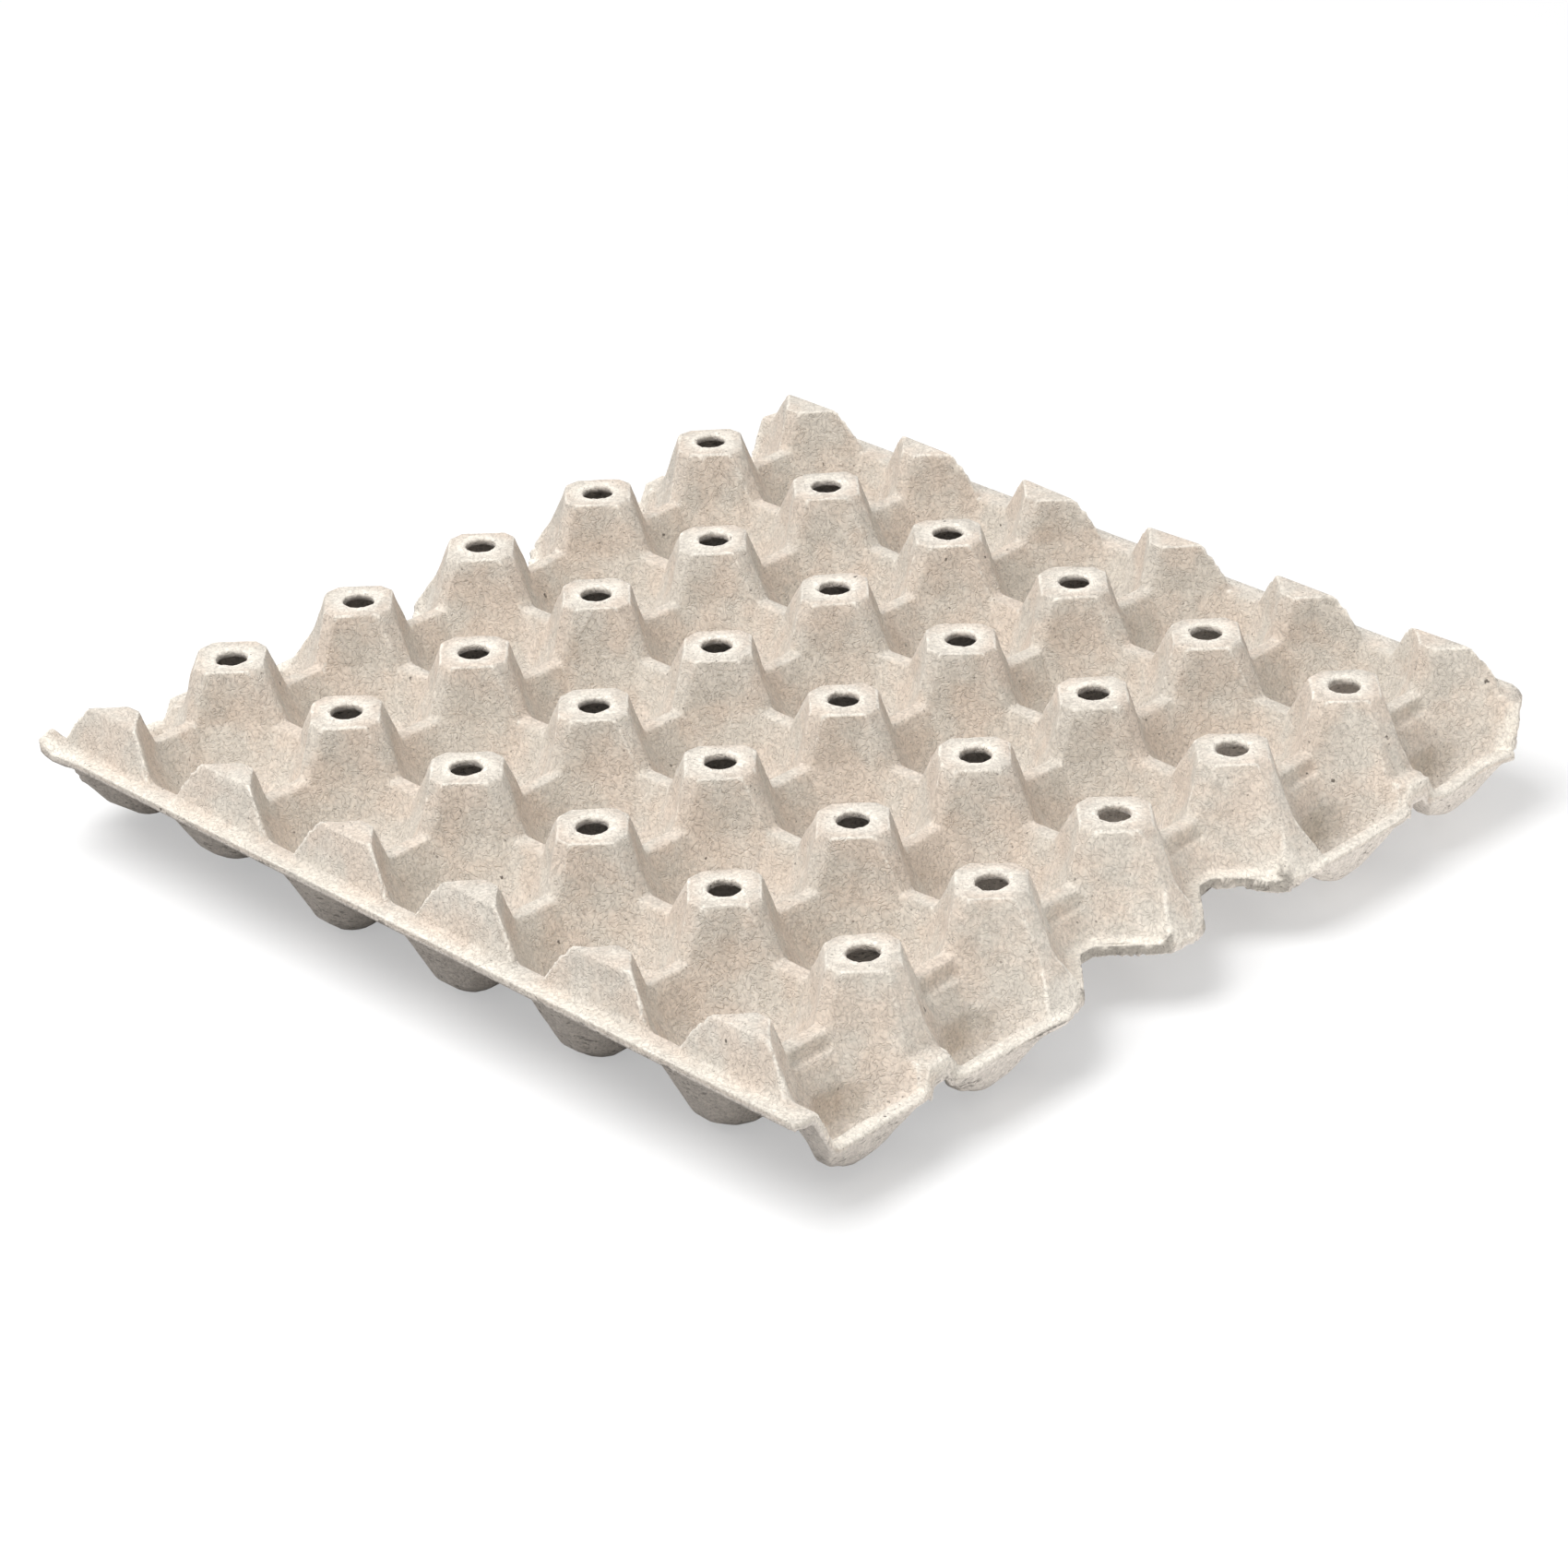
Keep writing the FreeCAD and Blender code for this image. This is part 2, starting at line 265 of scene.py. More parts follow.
@dataclass(frozen=True)
class PulpFinish:
    """Matte recycled paper pulp, pale and mottled, with dark specks and fibres, a painted highlight
    on up-facing edges and raised folds, and painted light in the cups' low parts.
    """

    name: str = "paper_pulp"
    warm: Colour = (0.655, 0.565, 0.48)
    cool: Colour = (0.635, 0.585, 0.515)
    # Painted highlight: a paler colour for up-facing open edges and raised folds.
    painted_highlight: Colour = (0.82, 0.765, 0.68)
    shade: Colour = (0.655, 0.60, 0.545)
    cut: Colour = (0.36, 0.33, 0.29)
    # Painted light: a paler, cooler tint for the cups' low parts, standing in for light that their
    # depth keeps out.
    painted_cup_light: Colour = (0.81, 0.765, 0.71)
    speck: Colour = (0.10, 0.085, 0.07)
    roughness: float = 0.93
    specular: float = 0.18
    sheen: float = 0.12
    sheen_roughness: float = 0.6
    mottle_size: float = 0.014
    blotch_size: float = 0.014 * 0.28
    grain_size: float = 0.0009
    streak_size: float = 0.0016
    dent_size: float = 0.0021
    scar_size: float = 0.0048
    cup_light_share: float = 0.8
    edge_highlight_share: float = 0.85
    cut_share: float = 0.9
    pit_share: float = 0.60
    speck_share: float = 0.58
    fleck_share: float = 0.86
    bump_strength: float = 0.55
    bump_depth: float = 0.00035

    def build(self) -> bpy.types.Material:
        """Build the material.

        Returns:
            The finished material.
        """
        material = bpy.data.materials.new(self.name)
        material.use_nodes = True
        tree = material.node_tree
        tree.nodes.clear()
        board = Board(tree)
        place = board.node("ShaderNodeTexCoord").outputs["Object"]
        mottle = board.group(mottle_group(), {"Size": self.mottle_size}, place)
        blotch = board.group(mottle_group(), {"Size": self.blotch_size}, place)
        grain = board.group(grain_group(), {"Size": self.grain_size}, place)
        fine = {"Spacing": 0.0026, "Share": 0.38, "Radius": 0.00025}
        specks = board.group(speck_group(), fine, place)
        large = {"Spacing": 0.0062, "Share": 0.20, "Radius": 0.00042}
        flecks = board.group(speck_group(), large, place)
        streaks = board.group(fibre_group(), {"Size": self.streak_size}, place)
        dents = board.group(dent_group(), {"Size": self.dent_size}, place)
        scars = board.group(dent_group(), {"Size": self.scar_size}, place)

        paper = board.mix(mottle.outputs["Mask"], self.warm, self.cool)
        # Painted light: the cups' low, up-facing parts turn paler and cooler.
        cup_light_mask = board.maths("MULTIPLY", board.attribute(Mark.CUP_LIGHT), self.cup_light_share)
        paper = board.mix(cup_light_mask, paper, self.painted_cup_light)
        under = board.attribute(Mark.UNDERSIDE)
        paper = board.mix(under, paper, self.shade)
        # Painted highlight: up-facing open edges and raised folds turn paler, less so on the
        # underside.
        edge = board.attribute(Mark.EDGE_HIGHLIGHT)
        fold = board.attribute(Mark.FOLD_HIGHLIGHT)
        pale = board.maths("MAXIMUM", board.maths("MULTIPLY", edge, self.edge_highlight_share), fold)
        above = board.maths("SUBTRACT", 1.0, board.maths("MULTIPLY", under, 0.65))
        paper = board.mix(board.maths("MULTIPLY", pale, above), paper, self.painted_highlight)
        rough_cut = board.attribute(Mark.CUT)
        paper = board.mix(board.maths("MULTIPLY", rough_cut, self.cut_share), paper, self.cut)

        light = board.maths("MULTIPLY_ADD", blotch.outputs["Mask"], 0.09, 0.955)
        for effect, low, high in ((grain, 0.87, 1.12), (streaks, 0.93, 1.04)):
            light = board.maths("MULTIPLY", light, board.span(effect.outputs["Mask"], low, high))
        paper = board.mix(1.0, paper, board.grey(light), "MULTIPLY")
        pits = board.maths("MAXIMUM", dents.outputs["Mask"], scars.outputs["Mask"])
        pits = board.maths("MULTIPLY", pits, board.maths("MAXIMUM", under, rough_cut))
        for mask, share in (
            (pits, self.pit_share),
            (specks.outputs["Mask"], self.speck_share),
            (flecks.outputs["Mask"], self.fleck_share),
        ):
            paper = board.mix(board.maths("MULTIPLY", mask, share), paper, self.speck)

        felt = grain.outputs["Height"]
        height = board.maths("MULTIPLY_ADD", felt, 0.6, streaks.outputs["Mask"])
        coarse = board.maths("MAXIMUM", rough_cut, board.maths("MULTIPLY", under, 0.45))
        lumps = board.maths("MULTIPLY", blotch.outputs["Mask"], 1.2)
        height = board.maths("ADD", height, board.maths("MULTIPLY", lumps, coarse))
        height = board.maths("SUBTRACT", height, pits)
        bump = board.node("ShaderNodeBump")
        bump.inputs["Strength"].default_value = self.bump_strength
        bump.inputs["Distance"].default_value = self.bump_depth
        board.join(height, bump.inputs["Height"])

        surface = board.node("ShaderNodeBsdfPrincipled")
        surface.inputs["Roughness"].default_value = self.roughness
        surface.inputs["Specular IOR Level"].default_value = self.specular
        surface.inputs["Sheen Weight"].default_value = self.sheen
        surface.inputs["Sheen Roughness"].default_value = self.sheen_roughness
        board.join(paper, surface.inputs["Base Color"])
        board.join(bump.outputs["Normal"], surface.inputs["Normal"])
        output = board.node("ShaderNodeOutputMaterial")
        board.join(surface.outputs["BSDF"], output.inputs["Surface"])
        material.diffuse_color = (*self.warm, 1.0)
        return material


@dataclass
class Board:
    """Adds and joins shader nodes in one node tree."""

    tree: bpy.types.NodeTree

    def node(self, kind: str) -> bpy.types.Node:
        """Add a node of a kind."""
        return self.tree.nodes.new(kind)

    def join(self, source: object, target: bpy.types.NodeSocket) -> None:
        """Feed a socket from another socket, a number or a colour.

        Args:
            source: A socket, a number or a colour.
            target: The socket that takes it.
        """
        if isinstance(source, bpy.types.NodeSocket):
            self.tree.links.new(source, target)
        elif isinstance(source, tuple):
            target.default_value = (*source, 1.0)
        else:
            target.default_value = source

    def maths(
        self, operation: str, first: object, second: object, third: object = 0.0
    ) -> bpy.types.NodeSocket:
        """Add a Math node.

        Args:
            operation: The name of the sum.
            first: First value or socket.
            second: Second value or socket.
            third: Third value or socket, where the sum has one.

        Returns:
            The result's socket.
        """
        node = self.node("ShaderNodeMath")
        node.operation = operation
        for socket, value in zip(node.inputs, (first, second, third)):
            self.join(value, socket)
        return node.outputs[0]

    def mix(
        self, share: object, first: object, second: object, blend: str = "MIX"
    ) -> bpy.types.NodeSocket:
        """Mix two colours.

        Args:
            share: How much of the second shows.
            first: First colour or socket.
            second: Second colour or socket.
            blend: How they are laid over each other.

        Returns:
            The mixed colour's socket.
        """
        node = self.node("ShaderNodeMix")
        node.data_type = "RGBA"
        node.blend_type = blend
        node.clamp_factor = True
        self.join(share, node.inputs[0])
        self.join(first, node.inputs[6])
        self.join(second, node.inputs[7])
        return node.outputs[2]

    def grey(self, value: object) -> bpy.types.NodeSocket:
        """Turn a value into a grey colour."""
        node = self.node("ShaderNodeCombineColor")
        for socket in node.inputs:
            self.join(value, socket)
        return node.outputs["Color"]

    def span(self, value: object, low: float, high: float) -> bpy.types.NodeSocket:
        """Stretch a value from 0 to 1 over another span.

        Args:
            value: The value or socket.
            low: Result at 0.
            high: Result at 1.

        Returns:
            The stretched value's socket.
        """
        return self.maths("MULTIPLY_ADD", value, high - low, low)

    def ramp(self, value: object, low: float, high: float) -> bpy.types.NodeSocket:
        """Ease a value from 0 to 1 between two values.

        Args:
            value: The value or socket.
            low: Value that gives 0.
            high: Value that gives 1.

        Returns:
            The eased value's socket.
        """
        node = self.node("ShaderNodeMapRange")
        node.interpolation_type = "SMOOTHSTEP"
        self.join(value, node.inputs["Value"])
        node.inputs["From Min"].default_value = low
        node.inputs["From Max"].default_value = high
        return node.outputs["Result"]

    def attribute(self, mark: Mark) -> bpy.types.NodeSocket:
        """Read a mark that is kept on the mesh."""
        node = self.node("ShaderNodeAttribute")
        node.attribute_name = mark.value
        return node.outputs["Fac"]

    def noise(
        self, place: object, scale: object, detail: float, rough: float
    ) -> bpy.types.NodeSocket:
        """Add a Noise Texture.

        Args:
            place: Socket with the place.
            scale: Scale or its socket.
            detail: How many finer layers it has.
            rough: Strength of the finer layers.

        Returns:
            The value's socket.
        """
        node = self.node("ShaderNodeTexNoise")
        self.join(place, node.inputs["Vector"])
        self.join(scale, node.inputs["Scale"])
        node.inputs["Detail"].default_value = detail
        node.inputs["Roughness"].default_value = rough
        return node.outputs["Fac"]

    def group(
        self, effect: bpy.types.NodeTree, values: dict[str, float], place: bpy.types.NodeSocket
    ) -> bpy.types.Node:
        """Place a shared effect.

        Args:
            effect: The effect's node group.
            values: Its inputs by name.
            place: Socket with the place on the piece.

        Returns:
            The group's node.
        """
        node = self.node("ShaderNodeGroup")
        node.node_tree = effect
        self.join(place, node.inputs["Place"])
        for name, value in values.items():
            node.inputs[name].default_value = value
        return node


def open_group(
    name: str, inputs: list[str], outputs: list[str]
) -> tuple[Board, dict[str, object], bpy.types.Node]:
    """Start a node group with a place, some numbers in and some numbers out.

    Args:
        name: The group's name.
        inputs: Names of the numbers in.
        outputs: Names of the numbers out.

    Returns:
        The board, the inputs' sockets by name, and the group's output node.
    """
    tree = bpy.data.node_groups.new(name, "ShaderNodeTree")
    tree.interface.new_socket("Place", in_out="INPUT", socket_type="NodeSocketVector")
    for label in inputs:
        tree.interface.new_socket(label, in_out="INPUT", socket_type="NodeSocketFloat")
    for label in outputs:
        tree.interface.new_socket(label, in_out="OUTPUT", socket_type="NodeSocketFloat")
    board = Board(tree)
    entry = board.node("NodeGroupInput")
    sockets = {label: entry.outputs[label] for label in ["Place", *inputs]}
    return board, sockets, board.node("NodeGroupOutput")


def mottle_group() -> bpy.types.NodeTree:
    """Soft patches of two tones, such as wet and dry pulp leave."""
    if "pulp_mottle" in bpy.data.node_groups:
        return bpy.data.node_groups["pulp_mottle"]
    board, given, out = open_group("pulp_mottle", ["Size"], ["Mask"])
    scale = board.maths("DIVIDE", 1.0, given["Size"])
    value = board.noise(given["Place"], scale, 3.0, 0.55)
    board.join(board.ramp(value, 0.36, 0.64), out.inputs["Mask"])
    return board.tree


def grain_group() -> bpy.types.NodeTree:
    """Fine felted grain of pulp, as a tone and as a height."""
    if "pulp_grain" in bpy.data.node_groups:
        return bpy.data.node_groups["pulp_grain"]
    board, given, out = open_group("pulp_grain", ["Size"], ["Mask", "Height"])
    scale = board.maths("DIVIDE", 1.0, given["Size"])
    fine = board.noise(given["Place"], scale, 2.0, 0.6)
    wide = board.noise(given["Place"], board.maths("MULTIPLY", scale, 0.3), 2.0, 0.5)
    board.join(board.ramp(fine, 0.3, 0.7), out.inputs["Mask"])
    board.join(board.maths("MULTIPLY_ADD", wide, 1.4, fine), out.inputs["Height"])
    return board.tree


def speck_group() -> bpy.types.NodeTree:
    """Small dark specks scattered singly, each of its own size."""
    if "pulp_specks" in bpy.data.node_groups:
        return bpy.data.node_groups["pulp_specks"]
    board, given, out = open_group("pulp_specks", ["Spacing", "Share", "Radius"], ["Mask"])
    scale = board.maths("DIVIDE", 1.0, given["Spacing"])
    cells = board.node("ShaderNodeTexVoronoi")
    board.join(given["Place"], cells.inputs["Vector"])
    board.join(scale, cells.inputs["Scale"])
    parts = board.node("ShaderNodeSeparateColor")
    board.join(cells.outputs["Color"], parts.inputs["Color"])
    chosen = board.maths("LESS_THAN", parts.outputs["Red"], given["Share"])
    radius = board.maths("MULTIPLY", given["Radius"], scale)
    radius = board.maths("MULTIPLY", radius, board.span(parts.outputs["Green"], 0.5, 1.3))
    ragged = board.noise(given["Place"], board.maths("DIVIDE", 0.6, given["Radius"]), 1.0, 0.5)
    stretch = board.maths("MULTIPLY", radius, board.span(ragged, -1.0, 1.6))
    inside = board.maths("SUBTRACT", board.maths("ADD", radius, stretch), cells.outputs["Distance"])
    spot = board.ramp(board.maths("DIVIDE", inside, radius), 0.0, 0.5)
    board.join(board.maths("MULTIPLY", spot, chosen), out.inputs["Mask"])
    return board.tree


def dent_group() -> bpy.types.NodeTree:
    """Small dark pits and scuffs, such as the forming screen leaves."""
    if "pulp_dents" in bpy.data.node_groups:
        return bpy.data.node_groups["pulp_dents"]
    board, given, out = open_group("pulp_dents", ["Size"], ["Mask"])
    squash = board.node("ShaderNodeMapping")
    squash.inputs["Rotation"].default_value = (0.5, 0.3, 0.7)
    squash.inputs["Scale"].default_value = (1.0, 1.0, 2.3)
    board.join(given["Place"], squash.inputs["Vector"])
    scale = board.maths("DIVIDE", 1.0, given["Size"])
    pits = board.noise(squash.outputs["Vector"], scale, 3.0, 0.6)
    where = board.noise(given["Place"], board.maths("MULTIPLY", scale, 0.22), 1.0, 0.5)
    deep = board.ramp(board.maths("MULTIPLY_ADD", where, 0.35, pits), 0.80, 0.88)
    board.join(deep, out.inputs["Mask"])
    return board.tree


def fibre_group() -> bpy.types.NodeTree:
    """Short fine fibres lying in every direction."""
    if "pulp_fibres" in bpy.data.node_groups:
        return bpy.data.node_groups["pulp_fibres"]
    board, given, out = open_group("pulp_fibres", ["Size"], ["Mask"])
    scale = board.maths("DIVIDE", 1.0, given["Size"])
    warp = board.node("ShaderNodeTexNoise")
    board.join(given["Place"], warp.inputs["Vector"])
    board.join(board.maths("MULTIPLY", scale, 0.35), warp.inputs["Scale"])
    bent = board.node("ShaderNodeVectorMath")
    bent.operation = "MULTIPLY_ADD"
    board.join(warp.outputs["Color"], bent.inputs[0])
    bent.inputs[1].default_value = (0.004, 0.004, 0.004)
    board.join(given["Place"], bent.inputs[2])
    ridge = board.noise(bent.outputs["Vector"], scale, 1.0, 0.5)
    line = board.maths("ABSOLUTE", board.maths("SUBTRACT", ridge, 0.5), 0.0)
    board.join(board.ramp(line, 0.0, 0.05), out.inputs["Mask"])
    return board.tree


@dataclass(frozen=True)
class Wear:
    """How far handling has bent the tray, in metres.

    Each sag of the lip has its place along Y, its drop and its spread. Each corner has
    its sides along X and Y and the length that is rounded.
    """

    tip_curl: float = 0.0036
    edge_droop: float = 0.0016
    lip_sags: tuple[tuple[float, float, float], ...] = (
        (0.036, 0.0026, 0.0085),
        (-0.052, 0.0008, 0.012),
        (0.118, -0.0012, 0.009),
    )
    notch_thickening: float = 0.0012
    tongue_drop: float = 0.0040
    lip_end_draw: float = 0.0013
    notch_mouth_draw: float = 0.0024
    tab_lean: float = 0.0016
    corners: tuple[tuple[int, int, float], ...] = (
        (-1, -1, 0.008),
        (1, 1, 0.014),
        (-1, 1, 0.011),
        (1, -1, 0.004),
    )


@dataclass
class PulpTray:
    """The moulded sheet: soft folds, uneven walls and frayed edges over the solid."""

    node: bpy.types.Object
    finish: PulpFinish
    plan: SheetPlan = field(default_factory=SheetPlan)
    wear: Wear = field(default_factory=Wear)
    grid: float = 0.00064
    rounding: int = 3
    edge_rounding: int = 1
    unevenness: float = 0.00022
    fray: float = 0.00060
    budget: int = 195000

    def build(self) -> bpy.types.Object:
        """Model and dress the tray.

        Returns:
            The finished piece.
        """
        piece = self.copy_solid()
        self.resample(piece)
        self.round_folds(piece)
        self.shape_damage(piece)
        self.thin(piece)
        self.roughen(piece)
        self.mark(piece)
        piece.data.materials.clear()
        piece.data.materials.append(self.finish.build())
        select_only(piece)
        bpy.ops.object.shade_smooth()
        return piece

    def copy_solid(self) -> bpy.types.Object:
        """Copy the solid's mesh and join its loose triangles."""
        piece = bpy.data.objects.new("pulp_tray", self.node.data.copy())
        bpy.context.scene.collection.objects.link(piece)
        select_only(piece)
        bpy.ops.object.mode_set(mode="EDIT")
        bpy.ops.mesh.select_all(action="SELECT")
        bpy.ops.mesh.remove_doubles(threshold=1e-6)
        bpy.ops.object.mode_set(mode="OBJECT")
        return piece

    def resample(self, piece: bpy.types.Object) -> None:
        """Give the copy an even fine grid of faces."""
        grid = piece.modifiers.new("grid", "REMESH")
        grid.mode = "VOXEL"
        grid.voxel_size = self.grid
        finish_modifier(piece, "grid")
        LOG.info("resampled to %d faces", len(piece.data.polygons))

    def round_folds(self, piece: bpy.types.Object) -> None:
        """Round every fold softly, and the open edges of the sheet less."""
        points = read_points(piece.data)
        inner = 1.0 - self.plan.edge_mask(points, 0.0075)
        soft = piece.vertex_groups.new(name="folds")
        bands = np.clip((inner * 8.0).round().astype(int), 0, 8)
        for band in range(1, 9):
            members = np.nonzero(bands == band)[0].tolist()
            soft.add(members, band / 8.0, "REPLACE")
        passes = (("folds", self.rounding, "folds"), ("edges", self.edge_rounding, ""))
        for name, times, group in passes:
            rounds = piece.modifiers.new(name, "SMOOTH")
            rounds.factor = 0.5
            rounds.iterations = times
            rounds.vertex_group = group
            finish_modifier(piece, name)
        piece.vertex_groups.clear()

    def round_corner(
        self, points: np.ndarray, side_x: int, side_y: int, reach: float
    ) -> None:
        """Round one corner of the tray in plan, drawing a square into a quarter disc.

        Args:
            points: Places in metres, changed in place.
            side_x: Sign of the corner along X.
            side_y: Sign of the corner along Y.
            reach: Side of the square in metres.
        """
        across = (points[:, 0] * side_x - self.plan.end_x + reach) / reach
        along = (points[:, 1] * side_y - self.plan.rim_y + reach) / reach
        across, along = np.clip(across, 0.0, 1.0), np.clip(along, 0.0, 1.0)
        points[:, 0] -= side_x * reach * across * (1.0 - np.sqrt(1.0 - along**2 / 2.0))
        points[:, 1] -= side_y * reach * along * (1.0 - np.sqrt(1.0 - across**2 / 2.0))

    def shape_damage(self, piece: bpy.types.Object) -> None:
        """Bend what handling has bent: the rim's left tip, the lips, notches and corners."""
        points = read_points(piece.data)
        plan, wear = self.plan, self.wear
        x, y, z = (points[:, axis].copy() for axis in range(3))
        end = np.abs(x)
        level = read_normals(piece.data)
        for _ in range(2):
            level = neighbour_mean(piece.data, level)
        low = smoothstep(0.35, -0.35, level[:, 2])
        high = smoothstep(0.025, 0.029, z)
        tip = smoothstep(-0.1390, -0.1475, x) * smoothstep(-0.1365, -0.1400, y) * high
        points[:, 2] += wear.tip_curl * tip * (1.0 - 0.55 * low)
        droop = smoothstep(-0.126, -0.146, x) * smoothstep(-0.1415, -0.1447, y) * high
        points[:, 2] -= wear.edge_droop * droop
        outer = smoothstep(0.1345, 0.1500, x) * smoothstep(0.034, 0.028, z)
        for at_y, drop, spread in wear.lip_sags:
            points[:, 2] -= drop * outer * np.exp(-(((y - at_y) / spread) ** 2))
        section = np.exp(-((plan.to_notch(points) / 0.0012) ** 2))
        section *= smoothstep(0.128, 0.131, end)
        points[:, 2] -= wear.notch_thickening * section * low
        aside = plan.to_tongue(points)
        front = smoothstep(0.1435, 0.1485, end) * smoothstep(0.0060, 0.0030, aside)
        points[:, 2] -= wear.tongue_drop * front * low * smoothstep(0.012, 0.018, z)
        beside = smoothstep(0.1465, 0.1500, end) * smoothstep(0.0095, 0.0050, aside)
        points[:, 0] -= wear.lip_end_draw * np.sign(x) * beside
        mouth = smoothstep(0.1460, 0.1510, end)
        mouth *= smoothstep(0.0045, 0.0003, plan.to_notch(points))
        points[:, 0] -= wear.notch_mouth_draw * np.sign(x) * mouth
        flap = smoothstep(0.1335, 0.1375, y) * smoothstep(0.0385, 0.0440, z)
        points[:, 1] -= wear.tab_lean * flap * smoothstep(0.105, 0.112, x)
        for side_x, side_y, reach in wear.corners:
            self.round_corner(points, side_x, side_y, reach)
        write_points(piece.data, points)

    def ragged_share(
        self, mesh: bpy.types.Mesh, points: np.ndarray, normals: np.ndarray
    ) -> np.ndarray:
        """Mark the torn edges: the open edges of the sheet and the tabs' own folds.

        Args:
            mesh: The tray's mesh.
            points: Places of its vertices.
            normals: Normals of its vertices.

        Returns:
            A mark from 0 to 1 for each vertex.
        """
        plan = self.plan
        tab = smoothstep(plan.rim_y - 0.0075, plan.rim_y - 0.0062, np.abs(points[:, 1]))
        tab *= smoothstep(plan.rim_height + 0.0005, plan.rim_height + 0.002, points[:, 2])
        fold = smoothstep(200.0, 500.0, bending(mesh, points, normals))
        return np.maximum(plan.edge_mask(points, 0.0026), tab * fold * 0.8)

    def thin(self, piece: bpy.types.Object) -> None:
        """Drop faces where the sheet is plain, and none along torn edges."""
        faces = 2 * len(piece.data.polygons)
        points, normals = read_points(piece.data), read_normals(piece.data)
        ragged = self.ragged_share(piece.data, points, normals)
        plain = np.nonzero(ragged < 0.4)[0].tolist()
        group = piece.vertex_groups.new(name="plain")
        group.add(plain, 1.0, "REPLACE")
        fewer = piece.modifiers.new("thin", "DECIMATE")
        fewer.ratio = min(1.0, self.budget / faces)
        fewer.vertex_group = "plain"
        fewer.vertex_group_factor = 0.0
        finish_modifier(piece, "thin")
        piece.vertex_groups.clear()
        whole = len(points) - len(plain)
        LOG.info("kept %d faces, %d places whole", len(piece.data.polygons), whole)

    def roughen(self, piece: bpy.types.Object) -> None:
        """Make the walls uneven and fray the open edges."""
        points = read_points(piece.data)
        normals = read_normals(piece.data)
        plan = self.plan
        bend = np.stack([ripple(points, 0.045, seed) for seed in (11, 12, 13)], axis=1)
        wave = ripple(points, 0.014, 21) * 0.6 + ripple(points, 0.006, 22) * 0.4
        edge = plan.edge_mask(points, 0.0026)
        ragged = self.ragged_share(piece.data, points, normals)
        fine = ripple(points, 0.0034, 30) * 0.45 + ripple(points, 0.0021, 31) * 0.4
        fine += ripple(points, 0.0012, 32) * 0.3
        torn = 0.35 + 0.65 * smoothstep(-0.6, 0.9, ripple(points, 0.011, 33))
        torn *= np.where(plan.to_post(points) < 0.008, 0.35, 1.0)
        inside = np.minimum(fine, 0.6) * torn
        outward = normals * (self.fray * ragged * inside)[:, None]
        settled = smoothstep(0.0, 0.004, points[:, 2])[:, None]
        points += bend * self.unevenness * settled * (1.0 - edge)[:, None] ** 0.5
        points += normals * (wave * self.unevenness * 0.55 * (1.0 - ragged))[:, None]
        points += outward
        low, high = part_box("tray")
        points = np.clip(points, np.array(low), np.array(high))
        write_points(piece.data, points)

    def mark(self, piece: bpy.types.Object) -> None:
        """Keep on the mesh where its underside, edges, cuts, folds and cup bottoms are. The edge
        and fold marks are kept only where the surface faces up and place a painted highlight; the
        cup-bottom mark places painted light.
        """
        mesh = piece.data
        points = read_points(mesh)
        normals = read_normals(mesh)
        smooth = neighbour_mean(mesh, normals)
        under = smoothstep(0.06, -0.16, smooth[:, 2])
        # Painted highlight mask: raised folds that face up.
        fold = smoothstep(150.0, 600.0, bending(mesh, points, normals))
        fold *= smoothstep(0.1, 0.35, smooth[:, 2])
        # Painted highlight mask: open edges that face up.
        edge = self.plan.edge_mask(points, 0.0048) * smoothstep(0.0, 0.4, smooth[:, 2])
        # Painted light mask: the low, up-facing parts of the cups.
        cup_light_mask = smoothstep(0.026, 0.007, points[:, 2])
        cup_light_mask *= smoothstep(0.0, 0.3, smooth[:, 2])
        upright = 1.0 - smoothstep(0.25, 0.6, np.abs(normals[:, 2]))
        end = self.plan.end_x
        cut = 1.0 - smoothstep(0.0004, 0.0012, np.abs(self.plan.to_notch(points)))
        cut *= upright * smoothstep(end - 0.020, end - 0.018, np.abs(points[:, 0]))
        marks = {
            Mark.UNDERSIDE: under,
            Mark.EDGE_HIGHLIGHT: edge,
            Mark.CUT: cut,
            Mark.FOLD_HIGHLIGHT: fold,
            Mark.CUP_LIGHT: cup_light_mask,
        }
        for mark, values in marks.items():
            layer = mesh.attributes.new(mark.value, "FLOAT", "POINT")
            layer.data.foreach_set("value", np.clip(values, 0.0, 1.0).astype(np.float32))


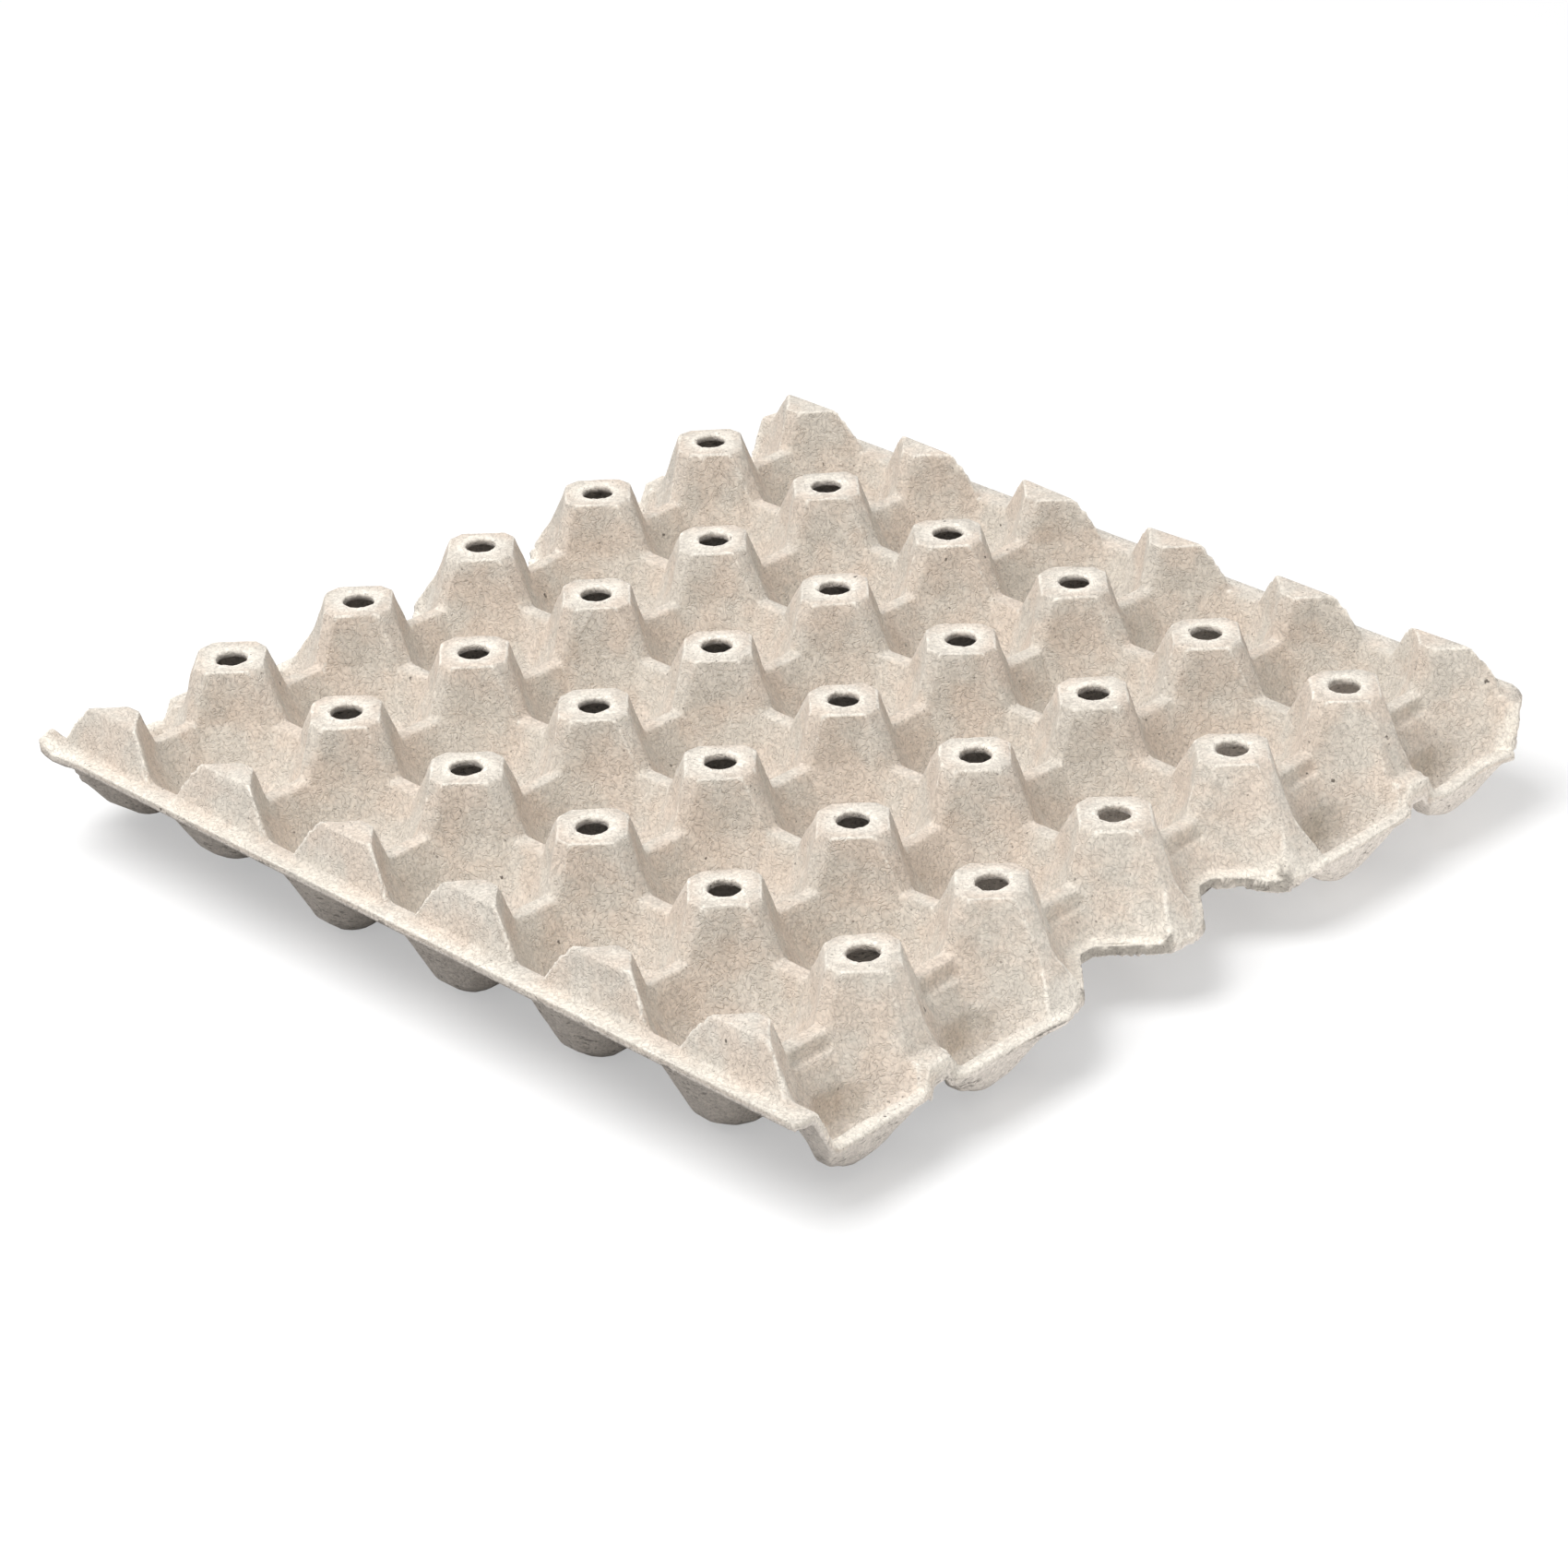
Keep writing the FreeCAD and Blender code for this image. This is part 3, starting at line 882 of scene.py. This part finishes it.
@dataclass
class Studio:
    """Plain pale floor, white surroundings, soft lamps and the camera.

    Each lamp has its name, its place, its width in metres and its power in watts.
    """

    floor_size: float = 14.0
    floor_level: float = -0.0004
    floor_shown: Colour = (0.93, 0.93, 0.93)
    floor_bounce: Colour = (0.95, 0.94, 0.92)
    floor_dim: Colour = (0.34, 0.33, 0.32)
    floor_lift: float = 0.36
    floor_clear: float = 0.45
    floor_glow: float = 0.42
    sky: float = 0.50
    azimuth: float = 46.363
    elevation: float = 28.624
    roll: float = -2.801
    lens: float = 114.03
    place: Place = (0.873653, -0.833396, 0.670149)
    lamps: tuple[tuple[str, Place, float, float], ...] = (
        ("key", (-0.35, -0.80, 2.10), 1.5, 50.0),
        ("fill", (1.95, -0.1, 0.40), 1.2, 2.5),
    )

    def build(self) -> None:
        """Set up the floor, the surroundings, the lamps and the camera."""
        self.lay_floor()
        self.light_sky()
        for name, place, size, power in self.lamps:
            self.hang_lamp(name, place, size, power)
        self.stand_camera()
        bpy.context.scene.view_settings.view_transform = "Standard"

    def shown_share(self, board: Board) -> bpy.types.NodeSocket:
        """Give 1 for rays from the camera and for mirrored or passing rays.

        Args:
            board: The board that holds the nodes.

        Returns:
            The socket with the share.
        """
        path = board.node("ShaderNodeLightPath")
        share = path.outputs["Is Camera Ray"]
        for name in ("Is Glossy Ray", "Is Transmission Ray"):
            share = board.maths("MAXIMUM", share, path.outputs[name])
        return share

    def lay_floor(self) -> None:
        """Lay the floor under the feet of the tray."""
        bpy.ops.object.select_all(action="DESELECT")
        middle = (0.0, 0.0, self.floor_level)
        bpy.ops.mesh.primitive_plane_add(size=self.floor_size, location=middle)
        floor = bpy.context.object
        floor.name = "floor"
        bpy.ops.object.transform_apply(location=True, rotation=True, scale=True)
        material = bpy.data.materials.new("pale_floor")
        material.use_nodes = True
        board = Board(material.node_tree)
        surface = board.tree.nodes["Principled BSDF"]
        surface.inputs["Roughness"].default_value = 0.9
        surface.inputs["Specular IOR Level"].default_value = 0.0
        place = board.node("ShaderNodeTexCoord").outputs["Object"]
        parts = board.node("ShaderNodeSeparateXYZ")
        board.join(place, parts.inputs["Vector"])
        across = board.maths("MULTIPLY_ADD", parts.outputs["Y"], 0.35, parts.outputs["X"])
        bright = board.ramp(across, 0.09, 0.15)
        bounce = board.mix(bright, self.floor_dim, self.floor_bounce)
        shown = self.shown_share(board)
        reach = board.node("ShaderNodeVectorMath")
        reach.operation = "LENGTH"
        board.join(place, reach.inputs[0])
        far = board.ramp(reach.outputs["Value"], self.floor_clear, 2.0 * self.floor_clear)
        far = board.maths("MAXIMUM", far, self.floor_glow)
        clear = board.mix(far, self.floor_shown, BLACK)
        board.join(board.mix(shown, bounce, clear), surface.inputs["Base Color"])
        unseen = board.maths("SUBTRACT", 1.0, shown)
        lift = board.maths("MULTIPLY", board.maths("MULTIPLY", bright, self.floor_lift), unseen)
        lift = board.maths("ADD", lift, board.maths("MULTIPLY", far, shown))
        surface.inputs["Emission Color"].default_value = (*WHITE, 1.0)
        board.join(lift, surface.inputs["Emission Strength"])
        floor.data.materials.append(material)

    def light_sky(self) -> None:
        """Surround the scene with soft white light."""
        world = bpy.data.worlds.new("white_room")
        bpy.context.scene.world = world
        world.use_nodes = True
        board = Board(world.node_tree)
        glow = board.tree.nodes["Background"]
        glow.inputs["Color"].default_value = (*WHITE, 1.0)
        strength = board.span(self.shown_share(board), self.sky, 1.0)
        board.join(strength, glow.inputs["Strength"])

    def hang_lamp(self, name: str, place: Place, size: float, power: float) -> None:
        """Hang a large soft lamp that faces the tray.

        Args:
            name: The lamp's name.
            place: Where it hangs, in metres.
            size: Its width in metres.
            power: Its power in watts.
        """
        lamp = bpy.data.lights.new(name, "AREA")
        lamp.size = size
        lamp.energy = power
        holder = bpy.data.objects.new(name, lamp)
        bpy.context.scene.collection.objects.link(holder)
        holder.location = place
        holder.rotation_mode = "QUATERNION"
        holder.rotation_quaternion = (-Vector(place)).to_track_quat("-Z", "Y")

    def stand_camera(self) -> None:
        """Stand the camera where the photograph was taken from."""
        turn, rise, roll = (math.radians(a) for a in (self.azimuth, self.elevation, self.roll))
        level = math.cos(rise)
        back = Vector((math.sin(turn) * level, -math.cos(turn) * level, math.sin(rise)))
        right = Vector((0.0, 0.0, 1.0)).cross(back).normalized()
        up = back.cross(right)
        across = right * math.cos(roll) + up * math.sin(roll)
        upright = up * math.cos(roll) - right * math.sin(roll)
        data = bpy.data.cameras.new("camera")
        data.sensor_width = 36.0
        data.lens = self.lens
        data.clip_start = 0.05
        data.clip_end = 60.0
        camera = bpy.data.objects.new("camera", data)
        bpy.context.scene.collection.objects.link(camera)
        axes = Matrix((across, upright, back)).transposed().to_4x4()
        camera.matrix_world = Matrix.Translation(Vector(self.place)) @ axes
        bpy.context.scene.camera = camera


def main() -> None:
    """Load the frame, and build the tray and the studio."""
    logging.basicConfig(level=logging.INFO, format="%(name)s: %(message)s")
    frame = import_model()
    tray = PulpTray(node=frame["nodes"]["tray"], finish=PulpFinish())
    piece = tray.build()
    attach(piece, "root")
    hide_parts("tray")
    LOG.info("%s: %d faces", piece.name, len(piece.data.polygons))
    Studio().build()


if __name__ == "__main__":
    main()
